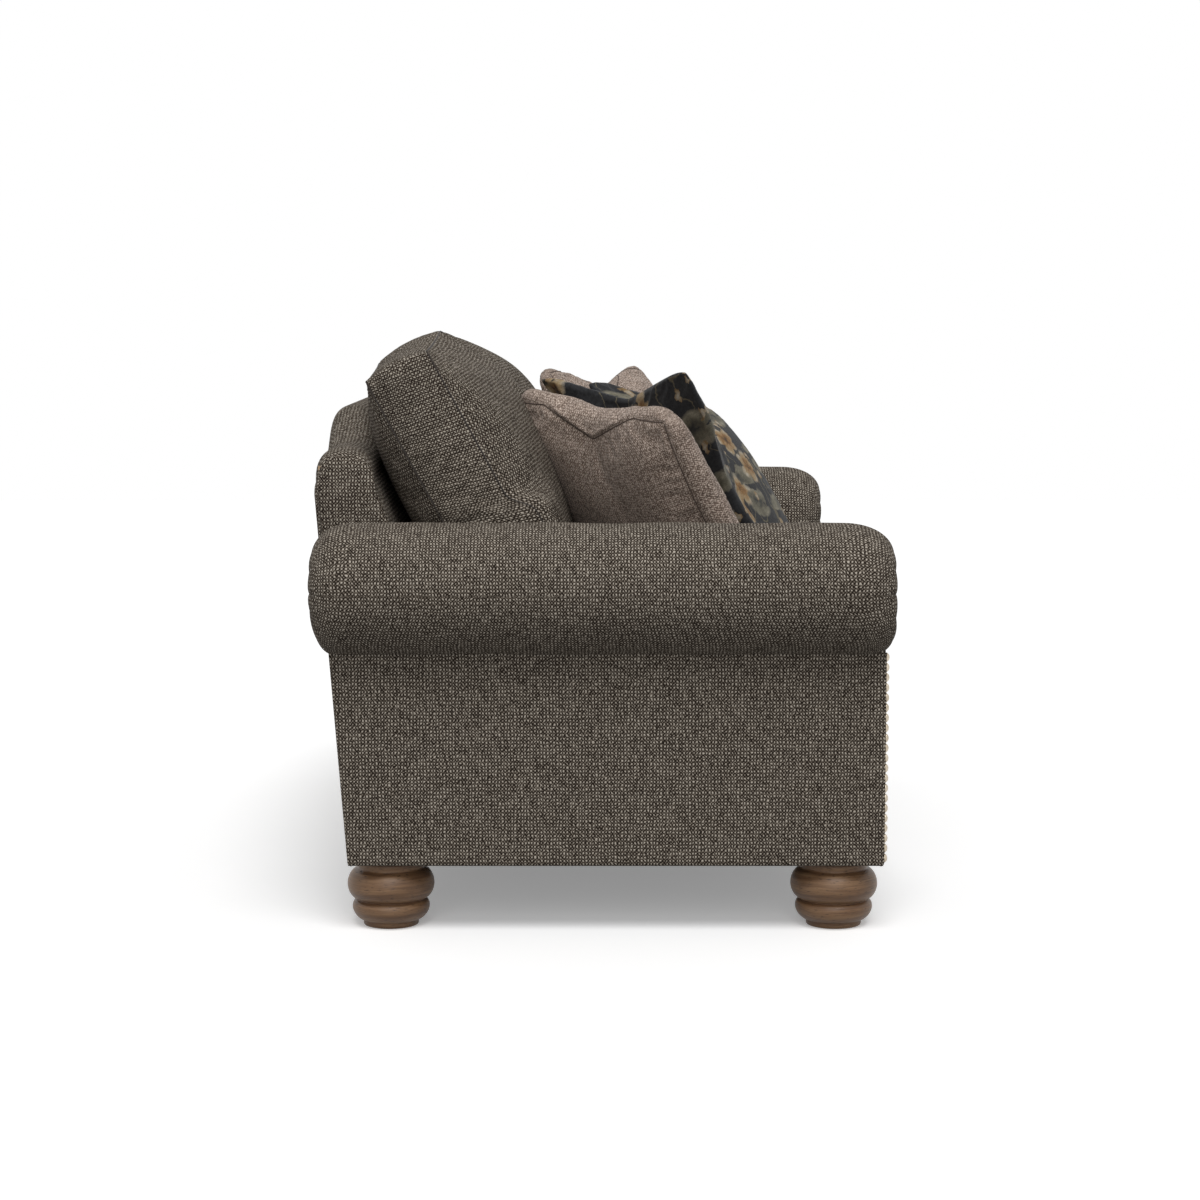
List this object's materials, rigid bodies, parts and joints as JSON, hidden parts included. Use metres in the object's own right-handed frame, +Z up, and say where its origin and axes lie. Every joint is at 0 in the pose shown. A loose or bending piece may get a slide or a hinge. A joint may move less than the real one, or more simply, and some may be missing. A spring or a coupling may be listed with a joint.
{
  "type": "loveseat",
  "caption": "Upholstered loveseat with rolled arms, a camel back, loose seat and back cushions, throw pillows, dome nails down the arm fronts and turned bun feet.",
  "frame": {"origin": "centre of the bounding box at floor level", "axes": "+X across the width, +Y to the rear, +Z up; the front faces -Y, and left is the -X side"},
  "size_m": [1.75, 0.99, 1],
  "materials": {
    "tweed": "dark grey-brown basket weave",
    "taupe_cloth": "fine speckled weave",
    "flower_cloth": "printed flowers on charcoal",
    "foot_wood": "weathered brown stain, soft sheen",
    "frame_wood": "bare hardwood",
    "steel": "zinc plated",
    "nail_metal": "dull pewter",
    "dust_cloth": "thin black nonwoven",
    "fill": "foam and fibre",
    "webbing": "woven elastic"
  },
  "bodies": {
    "frame": {"arm_tack_rails": "frame_wood", "back_top_rail": "frame_wood", "back_webbing": "webbing", "centre_back_post": "frame_wood", "centre_rail": "frame_wood", "dust_cover": "dust_cloth", "foot_blocks": "frame_wood", "front_border": "tweed", "front_left_foot": "foot_wood", "front_rail": "frame_wood", "front_right_foot": "foot_wood", "hanger_bolts": "steel", "inside_back": "tweed", "left_arm_board": "frame_wood", "left_arm_front": "tweed", "left_arm_roll": "tweed", "left_back_post": "frame_wood", "left_front_stump": "frame_wood", "left_inside_arm": "tweed", "left_nailheads": "nail_metal", "left_outside_arm": "tweed", "left_rear_stump": "frame_wood", "left_side_rail": "frame_wood", "outside_back": "tweed", "rear_left_foot": "foot_wood", "rear_rail": "frame_wood", "rear_right_foot": "foot_wood", "right_arm_board": "frame_wood", "right_arm_front": "tweed", "right_arm_roll": "tweed", "right_back_post": "frame_wood", "right_front_stump": "frame_wood", "right_inside_arm": "tweed", "right_nailheads": "nail_metal", "right_outside_arm": "tweed", "right_rear_stump": "frame_wood", "right_side_rail": "frame_wood", "seat_back_rail": "frame_wood", "seat_deck": "tweed", "seat_springs": "steel", "spring_clips": "steel", "t_nuts": "steel"},
    "left_seat": {"left_seat_cover": "tweed", "left_seat_core": "fill"},
    "left_back": {"left_back_cover": "tweed", "left_back_core": "fill"},
    "left_taupe": {"left_taupe_pillow_cover": "taupe_cloth", "left_taupe_pillow_insert": "fill"},
    "left_flower": {"left_flower_pillow_cover": "flower_cloth", "left_flower_pillow_insert": "fill"},
    "right_seat": {"right_seat_cover": "tweed", "right_seat_core": "fill"},
    "right_back": {"right_back_cover": "tweed", "right_back_core": "fill"},
    "right_taupe": {"right_taupe_pillow_cover": "taupe_cloth", "right_taupe_pillow_insert": "fill"},
    "right_flower": {"right_flower_pillow_cover": "flower_cloth", "right_flower_pillow_insert": "fill"}
  },
  "joints": [
    {"name": "left_seat_lift", "type": "slide", "parent": "frame", "child": "left_seat", "axis": [0, 0, 1], "range_m": [0, 0.35]},
    {"name": "left_back_lift", "type": "slide", "parent": "left_seat", "child": "left_back", "axis": [0, 0, 1], "range_m": [0, 0.4]},
    {"name": "left_taupe_lift", "type": "slide", "parent": "left_back", "child": "left_taupe", "axis": [0, 0, 1], "range_m": [0, 0.35]},
    {"name": "left_flower_lift", "type": "slide", "parent": "left_taupe", "child": "left_flower", "axis": [0, 0, 1], "range_m": [0, 0.35]},
    {"name": "right_seat_lift", "type": "slide", "parent": "frame", "child": "right_seat", "axis": [0, 0, 1], "range_m": [0, 0.35]},
    {"name": "right_back_lift", "type": "slide", "parent": "right_seat", "child": "right_back", "axis": [0, 0, 1], "range_m": [0, 0.4]},
    {"name": "right_taupe_lift", "type": "slide", "parent": "right_back", "child": "right_taupe", "axis": [0, 0, 1], "range_m": [0, 0.35]},
    {"name": "right_flower_lift", "type": "slide", "parent": "right_taupe", "child": "right_flower", "axis": [0, 0, 1], "range_m": [0, 0.35]}
  ]
}
